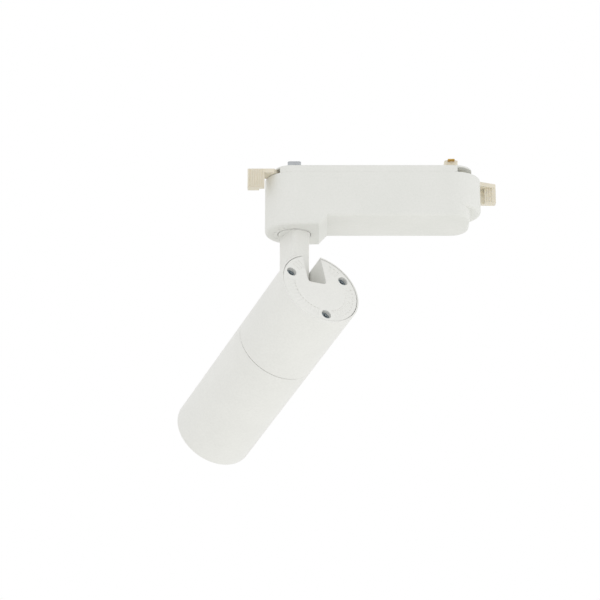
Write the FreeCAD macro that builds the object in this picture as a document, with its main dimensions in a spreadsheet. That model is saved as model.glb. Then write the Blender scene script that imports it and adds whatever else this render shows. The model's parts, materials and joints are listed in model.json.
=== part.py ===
import FreeCAD, Part
import math
import os
import re

import Sketcher

# A track spotlight: a driver case that hangs under a lighting rail, held by a turning lever at
# each end, and a cylindrical lamp on an arm that swivels under the case and lets the lamp tilt.
# Frame, in millimetres: the origin is the centre of the case's top face, which meets the rail.
# +X runs along the rail, +Z points up at the rail, and the swivel arm hangs at the -X end.

# Two coordinates closer than this are the same.
TINY = 1e-4

SIZES = {
    # driver case and lid
    "case_length": 128.5,
    "case_width": 35.0,
    "case_height": 32.0,
    "case_wall": 2.0,
    "case_edge_round": 2.0,
    "roof_thickness": 2.0,
    "roof_ledge": 6.75,
    "corner_round": 10.5,
    "pod_bottom": 25.0,
    "pod_edge_round": 2.0,
    "lid_inset": 5.5,
    "lid_thickness": 4.0,
    # turret that carries the swivel
    "turret_drop": 5.5,
    "turret_foot": 14.5,
    "turret_ramp": 5.0,
    "turret_floor": 4.0,
    "turret_well_gap": 1.0,
    "scale_gap": 2.5,
    "scale_mark_length": 1.6,
    "scale_mark_width": 0.5,
    "scale_mark_depth": 0.3,
    "scale_pitch": 15.0,
    "scale_marks": 9.0,
    "swivel_recess_gap": 0.4,
    "swivel_recess_depth": 1.5,
    # fasteners
    "screw_radius": 1.5,
    "screw_head_radius": 2.75,
    "screw_head_height": 1.8,
    "screw_clearance": 0.2,
    "screw_tip_gap": 0.5,
    "pilot_floor": 1.0,
    "cross_reach": 0.62,
    "cross_half_width": 0.16,
    "lid_screw_length": 9.0,
    "lid_screw_setback": 12.25,
    "lid_screw_inset": 5.0,
    "boss_radius": 3.4,
    "small_screw_radius": 1.0,
    "small_screw_head_radius": 1.9,
    "small_screw_head_height": 1.3,
    "small_screw_length": 5.0,
    # rail levers
    "lever_thickness": 2.5,
    "lever_gap": 0.3,
    "lever_disc_radius": 11.0,
    "lever_neck_radius": 5.0,
    "lever_neck_height": 3.2,
    "lever_pivot_radius": 3.0,
    "lever_pivot_spare": 1.6,
    "lever_hinge_fit": 0.1,
    "grip_length": 10.0,
    "grip_gap": 0.2,
    "grip_face": 15.0,
    "grip_depth": 5.5,
    "grip_drop": 11.7,
    "grip_thin_length": 3.2,
    "grip_thin_depth": 3.0,
    "grip_round": 0.8,
    "rib_count": 7.0,
    "inner_rib_count": 3.0,
    "rib_height": 0.35,
    "rib_margin": 0.4,
    "tongue_tip": 12.1,
    "tongue_inner": 3.0,
    "tongue_shoulder": 1.0,
    "lever_slot_back": 60.0,
    "lever_slot_ahead": 80.0,
    "hook_length": 20.0,
    "hook_width": 8.0,
    "hook_corner": 1.5,
    "hook_thickness": 2.4,
    "hook_screw_reach": 2.0,
    "contact_head_thickness": 4.0,
    "blade_thickness": 0.8,
    "blade_length": 2.2,
    "blade_seat": 3.0,
    "clip_width": 1.6,
    "clip_thickness": 0.8,
    # circuit board and what stands on it
    "board_end_gap": 1.1,
    "board_side_gap": 1.5,
    "board_thickness": 1.6,
    "board_corner": 1.5,
    "board_height": 5.5,
    "board_post_inset": 3.5,
    "board_post_radius": 2.4,
    "core_length": 18.0,
    "core_width": 17.0,
    "core_height": 14.0,
    "core_window_lift": 3.0,
    "core_window_width": 11.0,
    "core_window_height": 8.0,
    "core_limb_length": 5.0,
    "core_limb_height": 3.0,
    "winding_length": 16.0,
    "winding_gap": 0.2,
    "capacitor_x": 17.5,
    "large_capacitor_radius": 5.0,
    "large_capacitor_height": 13.5,
    "large_capacitor_y": 6.0,
    "small_capacitor_radius": 4.0,
    "small_capacitor_height": 8.0,
    "small_capacitor_y": 7.0,
    "film_capacitor_x": 22.2,
    "film_capacitor_length": 5.5,
    "film_capacitor_width": 14.0,
    "film_capacitor_height": 10.0,
    "choke_radius": 3.6,
    "choke_wire_radius": 1.4,
    "choke_x": 14.3,
    "choke_y": 7.0,
    "fuse_radius": 2.7,
    "fuse_height": 7.0,
    "fuse_x": 14.3,
    "fuse_y": 5.0,
    "plate_x": 24.9,
    "plate_thickness": 1.2,
    "plate_width": 15.0,
    "plate_height": 12.0,
    "transistor_gap": 0.1,
    "transistor_thickness": 1.2,
    "transistor_width": 9.0,
    "transistor_height": 9.0,
    "transistor_lift": 1.0,
    "terminal_x": 11.2,
    "terminal_y": 7.5,
    "terminal_depth": 2.8,
    "terminal_length": 10.0,
    "terminal_height": 7.0,
    "terminal_wall": 0.6,
    "terminal_pitch": 4.8,
    "terminal_mouth_length": 3.2,
    "terminal_mouth_depth": 2.5,
    # swivel
    "pan_angle": 29.0,
    "arm_depth": 17.6,
    "arm_width": 11.0,
    "arm_edge_round": 1.2,
    "pivot_drop": 77.2,
    "swivel_disc_radius": 9.6,
    "swivel_disc_proud": 0.3,
    "swivel_play": 0.1,
    "stud_radius": 5.0,
    "stud_length": 12.0,
    "running_fit": 0.05,
    "bush_wall": 1.5,
    "bush_flange": 1.2,
    "bush_flange_width": 2.75,
    "washer_inset": 1.0,
    "spring_washer_thickness": 0.6,
    "spring_washer_rise": 0.4,
    "stop_washer_thickness": 1.2,
    "stop_tab_over": 1.2,
    "stop_tab_width": 3.0,
    "stop_pin_radius": 1.25,
    "stop_pin_gap": 0.75,
    "stop_pin_seat": 1.5,
    "stop_pin_proud": 0.5,
    "pan_nut_wall": 2.5,
    "pan_nut_height": 4.0,
    "lead_bore_radius": 2.2,
    "lead_outlet_rise": 12.2,
    # tilt joint
    "tilt_down": 21.3,
    "pivot_setback": 26.5,
    "pivot_offset": 13.5,
    "axis_offset": 0.94,
    "tilt_pin_radius": 2.5,
    "tilt_bush_wall": 1.5,
    "tilt_washer_inset": 1.8,
    "tilt_washer_thickness": 0.5,
    "tilt_play": 0.1,
    "tilt_head_wall": 1.5,
    "tilt_head_height": 3.2,
    "tilt_thread_spare": 1.5,
    # lamp body
    "lamp_radius": 25.0,
    "lamp_length": 144.0,
    "joint_z": 55.2,
    "joint_gap": 0.3,
    "joint_chamfer": 0.2,
    "tube_wall": 2.0,
    "rim_round": 0.7,
    "flange_width": 6.0,
    "flange_thickness": 2.0,
    "arm_end_gap": 0.8,
    "slot_end_gap": 1.3,
    "slot_round": 2.3,
    "channel_wall": 1.8,
    "channel_root": 0.2,
    "cut_margin": 2.0,
    # rear cap
    "rim_wall": 1.0,
    "cap_gap": 0.3,
    "cap_inset": 0.3,
    "cap_thickness": 2.0,
    "cap_screw_inset": 3.8,
    "cap_screw_angle": 62.0,
    "cap_well_radius": 3.0,
    "cap_well_depth": 4.0,
    "cap_well_wall": 1.0,
    "cap_boss_length": 9.0,
    "cap_boss_radius": 4.2,
    "flute_inset": 2.3,
    "flute_length": 5.2,
    "flute_radius": 1.1,
    "flute_depth": 0.35,
    "flute_first_angle": 30.0,
    "flute_pitch": 7.4,
    # lamp optics
    "sink_base": 6.5,
    "sink_fin_length": 12.0,
    "sink_fin_gap": 0.6,
    "sink_fin_thickness": 1.6,
    "sink_fin_pitch": 4.4,
    "sink_fins_each_side": 3.0,
    "sink_hub_radius": 5.5,
    "sink_gap": 0.1,
    "led_board_radius": 15.0,
    "led_board_thickness": 1.6,
    "led_radius": 6.0,
    "led_thickness": 0.8,
    "led_screw_ring": 11.6,
    "reflector_throat": 7.0,
    "reflector_gap": 0.8,
    "reflector_lip": 2.7,
    "reflector_depth": 32.0,
    "reflector_wall": 1.0,
    "lens_thickness": 3.0,
    "lens_ring_height": 3.0,
    "lens_ring_width": 2.4,
    "grommet_hole_radius": 3.0,
    "grommet_lip": 0.6,
    "grommet_flange": 1.0,
    "grommet_bore": 1.8,
}

# Sizes and places that follow from the ones above, so that what fits together stays together.
FITS = {
    # driver case and lid
    "end_radius": "case_width / 2",
    "rotor_x": "case_length / 2 - end_radius",
    "floor_top": "-case_height + case_wall",
    "roof_under": "-lid_thickness - roof_thickness",
    "roof_opening_end": "rotor_x - roof_ledge",
    "lid_end": "case_length / 2 - lid_inset",
    "lid_screw_x": "rotor_x - lid_screw_setback",
    "lid_screw_y": "end_radius - lid_screw_inset",
    # rail levers
    "lever_under": "-lid_thickness + lever_gap",
    "lever_top": "lever_under + lever_thickness",
    "lever_pivot_length": "2 * lever_gap + roof_thickness + clip_thickness + lever_pivot_spare",
    "clip_radius": "lever_pivot_radius + clip_width",
    "grip_reach": "end_radius + grip_gap + grip_length",
    # circuit board
    "board_under": "floor_top + board_height",
    "board_top": "board_under + board_thickness",
    "board_end": "lid_screw_x - boss_radius - board_end_gap",
    "board_side": "end_radius - case_wall - board_side_gap",
    "board_post_x": "board_end - board_post_inset",
    "board_post_y": "board_side - board_post_inset",
    # swivel, from the recess under the turret up to the top of its stop washer
    "turret_bottom": "-case_height - turret_drop",
    "turret_top": "turret_bottom + turret_floor",
    "recess_roof": "turret_bottom + swivel_recess_depth",
    "swivel_disc_top": "recess_roof - swivel_play",
    "arm_bar_top": "turret_bottom - swivel_disc_proud",
    "swivel_recess_radius": "swivel_disc_radius + swivel_recess_gap",
    "scale_ring": "swivel_recess_radius + scale_gap",
    "bush_bore": "stud_radius + running_fit",
    "bush_radius": "bush_bore + bush_wall",
    "bush_flange_radius": "bush_radius + bush_flange_width",
    "bush_top": "turret_top + bush_flange",
    "washer_radius": "bush_flange_radius - washer_inset",
    "spring_under": "bush_top + swivel_play",
    "spring_top": "spring_under + spring_washer_thickness + spring_washer_rise",
    "stop_top": "spring_top + stop_washer_thickness",
    "stop_pin_ring": "bush_flange_radius + stop_pin_radius + stop_pin_gap",
    "stop_tab_reach": "stop_pin_ring + stop_tab_over",
    "turret_well_radius": "stop_tab_reach + turret_well_gap",
    "stud_top": "recess_roof + stud_length",
    "pan_nut_flats": "2 * (stud_radius + pan_nut_wall)",
    "lead_bore_drop": "pivot_drop - lead_outlet_rise",
    # tilt joint, and the slot in the lamp that takes the arm's end
    "arm_end_radius": "arm_depth / 2",
    "tilt_bore": "tilt_pin_radius + running_fit",
    "tilt_bush_radius": "tilt_bore + tilt_bush_wall",
    "tilt_washer_radius": "arm_end_radius - tilt_washer_inset",
    "tilt_head_flats": "2 * (tilt_pin_radius + tilt_head_wall)",
    "slot_width": "arm_width + 2 * (tilt_washer_thickness + tilt_play)",
    "slot_floor": "pivot_offset - arm_end_radius - arm_end_gap",
    "slot_length": "pivot_setback + arm_end_radius + slot_end_gap",
    "channel_half": "slot_width / 2 + channel_wall",
    "grommet_y": "-pivot_offset",
    # lamp body and rear cap
    "tube_inner": "lamp_radius - tube_wall",
    "flange_radius": "tube_inner - flange_width",
    "flange_screw_ring": "(flange_radius + tube_inner) / 2",
    "rear_end": "joint_z - joint_gap / 2",
    "front_start": "joint_z + joint_gap / 2",
    "cap_recess_radius": "lamp_radius - rim_wall",
    "cap_radius": "cap_recess_radius - cap_gap",
    "cap_inner_face": "cap_inset + cap_thickness",
    "cap_screw_ring": "tube_inner - cap_screw_inset",
    "boss_face": "cap_inset + cap_well_depth + cap_well_wall + cap_gap",
    "flute_outer": "cap_radius - flute_inset",
    "flute_inner": "flute_outer - flute_length",
    # light source and optics, each seated on the one before
    "insert_radius": "tube_inner - sink_gap",
    "reflector_mouth": "insert_radius - reflector_lip",
    "sink_rear": "front_start + flange_thickness",
    "sink_front": "sink_rear + sink_base",
    "sink_fin_radius": "flange_radius - sink_fin_gap",
    "led_seat": "sink_front + led_board_thickness",
    "reflector_rear": "led_seat + led_thickness + reflector_gap",
    "reflector_front": "reflector_rear + reflector_depth",
    "lens_rear": "reflector_front + reflector_wall",
    "lens_front": "lens_rear + lens_thickness",
    "lens_ring_front": "lens_front + lens_ring_height",
}

doc = FreeCAD.newDocument("track_spotlight")
sheet = doc.addObject("Spreadsheet::Sheet", "Sizes")
for row, (alias, size) in enumerate(SIZES.items(), start=1):
    sheet.set(f"A{row}", alias)
    sheet.set(f"B{row}", str(size))
    sheet.setAlias(f"B{row}", alias)
doc.recompute()

# ---------------------------------------------------------------- drawing helpers


def bound(text):
    """The formula with what it follows from written out, down to the spreadsheet's cells."""
    def cell(word):
        name = word.group()
        if name in FITS:
            return f"({bound(FITS[name])})"
        return "Sizes." + name if name in SIZES else name
    return re.sub(r"[a-z][a-z0-9_]*", cell, text)


def value(text):
    """What a formula of the sizes comes to, in millimetres or degrees."""
    return float(sheet.evalExpression(bound(text)))


def new_body(name):
    return doc.addObject("PartDesign::Body", name)


def new_sketch(body, plane="XY_Plane", offset="0"):
    """A sketch on one of the body's own origin planes, moved along the plane's normal."""
    sketch = body.newObject("Sketcher::SketchObject", body.Name + "_sketch")
    support = [item for item in body.Origin.OriginFeatures if item.Role == plane][0]
    sketch.AttachmentSupport = [(support, "")]
    sketch.MapMode = "FlatFace"
    sketch.setExpression("AttachmentOffset.Base.z", bound(offset))
    return sketch


def fix(sketch, kind, geometry, point, formula):
    """Holds one coordinate of a sketch point at a formula of the sizes."""
    constraint = Sketcher.Constraint(kind, -1, 1, geometry, point, value(formula))
    number = sketch.addConstraint(constraint)
    sketch.setExpression(f"Constraints[{number}]", bound(formula))


def circle(sketch, radius, x="0", y="0"):
    centre = FreeCAD.Vector(value(x), value(y), 0)
    normal = FreeCAD.Vector(0, 0, 1)
    number = sketch.addGeometry(Part.Circle(centre, normal, value(radius)))
    size = sketch.addConstraint(Sketcher.Constraint("Radius", number, value(radius)))
    sketch.setExpression(f"Constraints[{size}]", bound(radius))
    fix(sketch, "DistanceX", number, 3, x)
    fix(sketch, "DistanceY", number, 3, y)


def outline(sketch, start, *steps):
    """A closed outline. A step (x, y) is a straight line to that point, and a step
    (x, y, centre x, centre y, turn) is an arc, with turn +1 anticlockwise or -1 clockwise.
    Unless the last step already ends at the start, a straight line closes the outline."""
    places = [FreeCAD.Vector(value(step[0]), value(step[1]), 0) for step in (start, *steps)]
    if (places[-1] - places[0]).Length > TINY:
        steps += (start,)
        places.append(places[0])
    edges = []
    for begin, finish, step in zip(places, places[1:], steps):
        if len(step) == 2:
            edge = sketch.addGeometry(Part.LineSegment(begin, finish))
            edges.append((edge, 1, 2))
            continue
        centre = FreeCAD.Vector(value(step[2]), value(step[3]), 0)
        round_edge = Part.Circle(centre, FreeCAD.Vector(0, 0, 1), (begin - centre).Length)
        ends = (begin, finish) if step[4] > 0 else (finish, begin)
        low, high = [math.atan2(end.y - centre.y, end.x - centre.x) for end in ends]
        high += 2 * math.pi if high <= low else 0
        edge = sketch.addGeometry(Part.ArcOfCircle(round_edge, low, high))
        edges.append((edge, 1, 2) if step[4] > 0 else (edge, 2, 1))
    fix(sketch, "DistanceX", edges[0][0], edges[0][1], start[0])
    fix(sketch, "DistanceY", edges[0][0], edges[0][1], start[1])
    for number, step in enumerate(steps):
        edge, begin_point, end_point = edges[number]
        following, next_point, _ = edges[(number + 1) % len(edges)]
        sketch.addConstraint(
            Sketcher.Constraint("Coincident", edge, end_point, following, next_point)
        )
        closing = number == len(steps) - 1
        chord = places[number + 1] - places[number]
        if len(step) == 2 and not closing:
            fix(sketch, "DistanceX", edge, end_point, step[0])
            fix(sketch, "DistanceY", edge, end_point, step[1])
        elif len(step) == 5 and closing:
            upright = abs(chord.x) < abs(chord.y)
            kind, formula = ("DistanceX", step[2]) if upright else ("DistanceY", step[3])
            fix(sketch, kind, edge, 3, formula)
        elif len(step) == 5:
            fix(sketch, "DistanceX", edge, 3, step[2])
            fix(sketch, "DistanceY", edge, 3, step[3])
            spoke = places[number + 1] - FreeCAD.Vector(value(step[2]), value(step[3]), 0)
            beside = abs(spoke.x) < abs(spoke.y)
            kind, formula = ("DistanceX", step[0]) if beside else ("DistanceY", step[1])
            fix(sketch, kind, edge, end_point, formula)


def rectangle(sketch, x_low, x_high, y_low, y_high):
    outline(sketch, (x_low, y_low), (x_high, y_low), (x_high, y_high), (x_low, y_high))


def rounded_rectangle(sketch, half_length, half_width, radius):
    """A centred rectangle whose four corners are arcs."""
    x, y, r = f"({half_length})", f"({half_width})", f"({radius})"
    outline(
        sketch,
        (f"-{x} + {r}", f"-{y}"),
        (f"{x} - {r}", f"-{y}"),
        (x, f"-{y} + {r}", f"{x} - {r}", f"-{y} + {r}", 1),
        (x, f"{y} - {r}"),
        (f"{x} - {r}", y, f"{x} - {r}", f"{y} - {r}", 1),
        (f"-{x} + {r}", y),
        (f"-{x}", f"{y} - {r}", f"-{x} + {r}", f"{y} - {r}", 1),
        (f"-{x}", f"-{y} + {r}"),
        (f"-{x} + {r}", f"-{y}", f"-{x} + {r}", f"-{y} + {r}", 1),
    )


def extrude(body, kind, sketch, length, flip=False, both_ways=False):
    """A Pad or Pocket of a sketch. A Pad follows the plane's normal and a Pocket goes
    against it, unless flipped."""
    feature = body.newObject("PartDesign::" + kind, body.Name + "_" + kind.lower())
    feature.Profile = sketch
    feature.setExpression("Length", bound(length))
    feature.Reversed = flip
    if both_ways:
        feature.SideType = "Symmetric"
    return feature


def pad(body, sketch, length, **options):
    return extrude(body, "Pad", sketch, length, **options)


def pocket(body, sketch, depth, **options):
    before = solid_volume(body)
    feature = extrude(body, "Pocket", sketch, depth, **options)
    doc.recompute()
    if solid_volume(body) >= before:
        raise ValueError(feature.Name + " removes nothing")
    return feature


def solid_volume(body):
    doc.recompute()
    return body.Shape.Volume


def revolve(body, sketch, turn=360, flip=False):
    """A sketch turned about its own vertical axis."""
    feature = body.newObject("PartDesign::Revolution", body.Name + "_revolution")
    feature.Profile = sketch
    feature.ReferenceAxis = (sketch, ["V_Axis"])
    feature.Angle = turn
    feature.Reversed = flip
    return feature


def turned(name, start, *steps):
    """A body turned about Z from a section of (radius, height) points."""
    body = new_body(name)
    section = new_sketch(body, "XZ_Plane")
    outline(section, start, *steps)
    revolve(body, section)
    return body


def disc(name, radius, low, high, bore=None, x="0", y="0"):
    """A plain disc between two heights, or a ring where it has a bore."""
    body = new_body(name)
    sketch = new_sketch(body, offset=low)
    circle(sketch, radius, x, y)
    if bore:
        circle(sketch, bore, x, y)
    pad(body, sketch, f"({high}) - ({low})")
    return body


def fillet(body, radius, wanted):
    """Rounds the edges of the body's tip for which wanted(edge) is true."""
    doc.recompute()
    tip = body.Tip
    names = [f"Edge{n}" for n, edge in enumerate(tip.Shape.Edges, start=1) if wanted(edge)]
    if not names:
        raise ValueError(body.Name + " has no edge to round")
    feature = body.newObject("PartDesign::Fillet", body.Name + "_fillet")
    feature.Base = (tip, names)
    feature.setExpression("Radius", bound(radius))
    doc.recompute()
    return feature


def box(name, x_low, x_high, y_low, y_high, z_low, z_high):
    """A Part box between two corners."""
    item = doc.addObject("Part::Box", name)
    item.setExpression("Length", bound(f"({x_high}) - ({x_low})"))
    item.setExpression("Width", bound(f"({y_high}) - ({y_low})"))
    item.setExpression("Height", bound(f"({z_high}) - ({z_low})"))
    for axis, low in zip("xyz", (x_low, y_low, z_low)):
        item.setExpression("Placement.Base." + axis, bound(low))
    return item


def cylinder(name, radius, low, high, x="0", y="0"):
    """An upright Part cylinder between two heights."""
    item = doc.addObject("Part::Cylinder", name)
    item.setExpression("Radius", bound(radius))
    item.setExpression("Height", bound(f"({high}) - ({low})"))
    for axis, place in zip("xyz", (x, y, low)):
        item.setExpression("Placement.Base." + axis, bound(place))
    return item


def fuse(name, *items):
    item = doc.addObject("Part::MultiFuse", name)
    item.Shapes = list(items)
    return item


def cut(name, base, *tools):
    item = doc.addObject("Part::Cut", name)
    item.Base = base
    item.Tool = tools[0] if len(tools) == 1 else fuse(name + "_tools", *tools)
    return item


def group(name, items):
    """Separate solids kept together as one node."""
    item = doc.addObject("Part::Compound", name)
    item.Links = list(items)
    return item


def screw(name, radius, head_radius, head_height, length, x, y, seat, up=1):
    """A pan-head screw with a cross recess. Its head sits on the height seat, and its shank
    runs down from there, or up where up is -1."""
    head_end = f"({seat}) + {up} * {head_height}"
    shank_end = f"({seat}) - {up} * ({length})"
    recess_end = f"({head_end}) - {up} * {head_height} / 2"
    arm = f"cross_reach * {head_radius}"
    slot = f"cross_half_width * {head_radius}"
    spans = [sorted((head_end, seat), key=value), sorted((shank_end, seat), key=value)]
    recess = sorted((head_end, recess_end), key=value)
    solid = fuse(
        name + "_blank",
        cylinder(name + "_head", head_radius, *spans[0], x, y),
        cylinder(name + "_shank", radius, *spans[1], x, y),
    )
    cross = []
    for half_x, half_y in ((arm, slot), (slot, arm)):
        sides = (f"{x} - {half_x}", f"{x} + {half_x}", f"{y} - {half_y}", f"{y} + {half_y}")
        cross.append(box(name + "_cross", *sides, *recess))
    return cut(name, solid, *cross)


def case_screw(name, x, y, seat, length, up=1):
    return screw(name, "screw_radius", "screw_head_radius", "screw_head_height",
                 length, x, y, seat, up)


def hexagon(sketch, flats, turn=0.0):
    """A hexagon about the sketch's origin, given its size across flats."""
    corners = []
    for side in range(6):
        angle = turn + 60 * side
        reach = f"{flats} / sqrt(3)"
        corners.append((f"{reach} * cos({angle} deg)", f"{reach} * sin({angle} deg)"))
    outline(sketch, *corners)


parts = {}


def keep(name, item, frame=None):
    """Names a finished sub-part, and puts it where its frame says."""
    item.Label = name
    if frame is not None:
        item.Placement = frame
    parts[name] = item


def four_corners(x, y):
    return [(f"{x_sign}{x}", f"{y_sign}{y}") for x_sign in ("-", "") for y_sign in ("-", "")]


def turn_about(axis, angle):
    return FreeCAD.Rotation(FreeCAD.Vector(*axis), angle)


# ---------------------------------------------------------------- frames

ROTOR_CENTRE = value("rotor_x")
LEFT = FreeCAD.Placement(FreeCAD.Vector(-ROTOR_CENTRE, 0, 0), FreeCAD.Rotation())
RIGHT = FreeCAD.Placement(FreeCAD.Vector(ROTOR_CENTRE, 0, 0), turn_about((0, 0, 1), 180))
# Arm frame: X is the tilt axis, Y points the way the lamp aims, seen from above.
ARM = FreeCAD.Placement(
    FreeCAD.Vector(-ROTOR_CENTRE, 0, 0), turn_about((0, 0, 1), value("pan_angle"))
)
# Tilt frame: the same at the pivot, with Y turned down along the lamp.
TILT = ARM.multiply(FreeCAD.Placement(
    FreeCAD.Vector(0, 0, -value("pivot_drop")), turn_about((1, 0, 0), -value("tilt_down"))
))
# Lamp frame: Z runs along the lamp from its rear face, and -Y is the side with the slot.
LAMP = TILT.multiply(FreeCAD.Placement(
    FreeCAD.Vector(value("axis_offset"), -value("pivot_setback"), -value("pivot_offset")),
    turn_about((1, 0, 0), -90),
))


# ---------------------------------------------------------------- driver case


def make_driver_case():
    body = new_body("driver_case_plain")
    side = new_sketch(body, "XZ_Plane")
    left = "-case_length / 2"
    foot_end = "(rotor_x + corner_round)"
    outline(
        side,
        (left, "-lid_thickness"),
        (left, "turret_bottom"),
        ("-rotor_x + turret_foot", "turret_bottom"),
        ("-rotor_x + turret_foot + turret_ramp", "-case_height"),
        (foot_end, "-case_height"),
        (foot_end, "-lid_thickness"),
    )
    pad(body, side, "case_width", both_ways=True)
    # The left end is a full half circle, and the right end has rounded corners.
    plan = new_sketch(body)
    beyond = "case_width"
    outline(
        plan,
        (f"-case_length / 2 - {beyond}", f"-{beyond}"),
        (f"{foot_end} + {beyond}", f"-{beyond}"),
        (f"{foot_end} + {beyond}", beyond),
        (f"-case_length / 2 - {beyond}", beyond),
    )
    outline(
        plan,
        ("-rotor_x", "-end_radius"),
        (f"{foot_end} - corner_round", "-end_radius"),
        (foot_end, "-end_radius + corner_round",
         f"{foot_end} - corner_round", "-end_radius + corner_round", 1),
        (foot_end, "end_radius - corner_round"),
        (f"{foot_end} - corner_round", "end_radius",
         f"{foot_end} - corner_round", "end_radius - corner_round", 1),
        ("-rotor_x", "end_radius"),
        ("-rotor_x", "-end_radius", "-rotor_x", "0", 1),
    )
    pocket(body, plan, "2 * case_height")

    def under(edge):
        bounds = edge.BoundBox
        low = bounds.ZMin > value("turret_bottom") - TINY and bounds.ZMax < value("-case_height") + TINY
        straight = max(bounds.XLength, bounds.ZLength) < TINY
        across = straight and abs(bounds.YLength - value("case_width")) < TINY
        return low and not across

    fillet(body, "case_edge_round", under)
    # The right end's pod, half a drum that stops short of the bottom.
    pod = new_sketch(body, "YZ_Plane", "rotor_x")
    outline(
        pod,
        ("0", "-lid_thickness"),
        ("0", "-pod_bottom"),
        ("end_radius - pod_edge_round", "-pod_bottom"),
        ("end_radius", "-pod_bottom + pod_edge_round",
         "end_radius - pod_edge_round", "-pod_bottom + pod_edge_round", 1),
        ("end_radius", "-lid_thickness"),
    )
    revolve(body, pod, turn=180, flip=True)
    # The room inside, the opening over the circuit board and the deeper well of the turret.
    room = new_sketch(body, offset="roof_under")
    inner = "(end_radius - case_wall)"
    inner_round = "(corner_round - case_wall)"
    inner_end = f"({foot_end} - case_wall)"
    outline(
        room,
        ("-rotor_x", f"-{inner}"),
        (f"{inner_end} - {inner_round}", f"-{inner}"),
        (inner_end, f"-{inner} + {inner_round}",
         f"{inner_end} - {inner_round}", f"-{inner} + {inner_round}", 1),
        (inner_end, f"{inner} - {inner_round}"),
        (f"{inner_end} - {inner_round}", inner,
         f"{inner_end} - {inner_round}", f"{inner} - {inner_round}", 1),
        ("-rotor_x", inner),
        ("-rotor_x", f"-{inner}", "-rotor_x", "0", 1),
    )
    pocket(body, room, "roof_under - floor_top")
    hatch = new_sketch(body, offset="-lid_thickness")
    rectangle(hatch, "-roof_opening_end", "roof_opening_end", f"-{inner}", inner)
    pocket(body, hatch, "roof_thickness")
    well = new_sketch(body, offset="floor_top")
    circle(well, "turret_well_radius", "-rotor_x")
    pocket(body, well, "floor_top - turret_top")
    # Bosses for the lid's screws and posts for the circuit board.
    bosses = new_sketch(body, offset="floor_top")
    for x, y in four_corners("lid_screw_x", "lid_screw_y"):
        circle(bosses, "boss_radius", x, y)
    pad(body, bosses, "-lid_thickness - floor_top")
    posts = new_sketch(body, offset="floor_top")
    for x, y in four_corners("board_post_x", "board_post_y"):
        circle(posts, "board_post_radius", x, y)
    pad(body, posts, "board_height")
    # Holes: swivel bush and its recess, stop pin, lever pivots, screws.
    recess = new_sketch(body, offset="turret_bottom")
    circle(recess, "swivel_recess_radius", "-rotor_x")
    pocket(body, recess, "swivel_recess_depth", flip=True)
    swivel = new_sketch(body, offset="turret_top")
    circle(swivel, "bush_radius", "-rotor_x")
    pocket(body, swivel, "turret_floor")
    stop = new_sketch(body, offset="turret_top")
    circle(stop, "stop_pin_radius", "-rotor_x", "-stop_pin_ring")
    pocket(body, stop, "stop_pin_seat")
    pivots = new_sketch(body, offset="-lid_thickness")
    for x in ("-rotor_x", "rotor_x"):
        circle(pivots, "lever_pivot_radius + lever_hinge_fit", x)
    pocket(body, pivots, "roof_thickness")
    holes = new_sketch(body, offset="-lid_thickness")
    for x, y in four_corners("lid_screw_x", "lid_screw_y"):
        circle(holes, "screw_radius", x, y)
    pocket(body, holes, "lid_screw_length")
    pilots = new_sketch(body, offset="board_under")
    for x, y in four_corners("board_post_x", "board_post_y"):
        circle(pilots, "small_screw_radius", x, y)
    pocket(body, pilots, "small_screw_length - board_thickness")
    doc.recompute()
    keep("driver_case", cut("driver_case", body, *scale_marks()))


def aim(item, inner, across, height, angle, centre="0"):
    """Lays a cutter along a radius of an upright axis, starting inner away from it."""
    spoke = FreeCAD.Placement(FreeCAD.Vector(value(centre), 0, 0), turn_about((0, 0, 1), angle))
    start = FreeCAD.Vector(value(inner), value(across), value(height))
    item.Placement = spoke.multiply(FreeCAD.Placement(start, item.Placement.Rotation))
    return item


def scale_marks():
    """Cutters for the marks under the turret that show how far the arm is turned."""
    marks = []
    count = int(value("scale_marks"))
    for number in range(count):
        item = doc.addObject("Part::Box", "scale_mark")
        item.setExpression("Length", bound("scale_mark_length"))
        item.setExpression("Width", bound("scale_mark_width"))
        item.setExpression("Height", bound("scale_mark_depth + cut_margin"))
        angle = 180 + value("scale_pitch") * (number - (count - 1) / 2)
        marks.append(aim(
            item, "scale_ring - scale_mark_length / 2", "-scale_mark_width / 2",
            "turret_bottom - cut_margin", angle, "-rotor_x",
        ))
    return marks


# How many straight sides the far edge of a lever's sector has, out past the lid.
SECTOR_SIDES = 5


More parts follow.
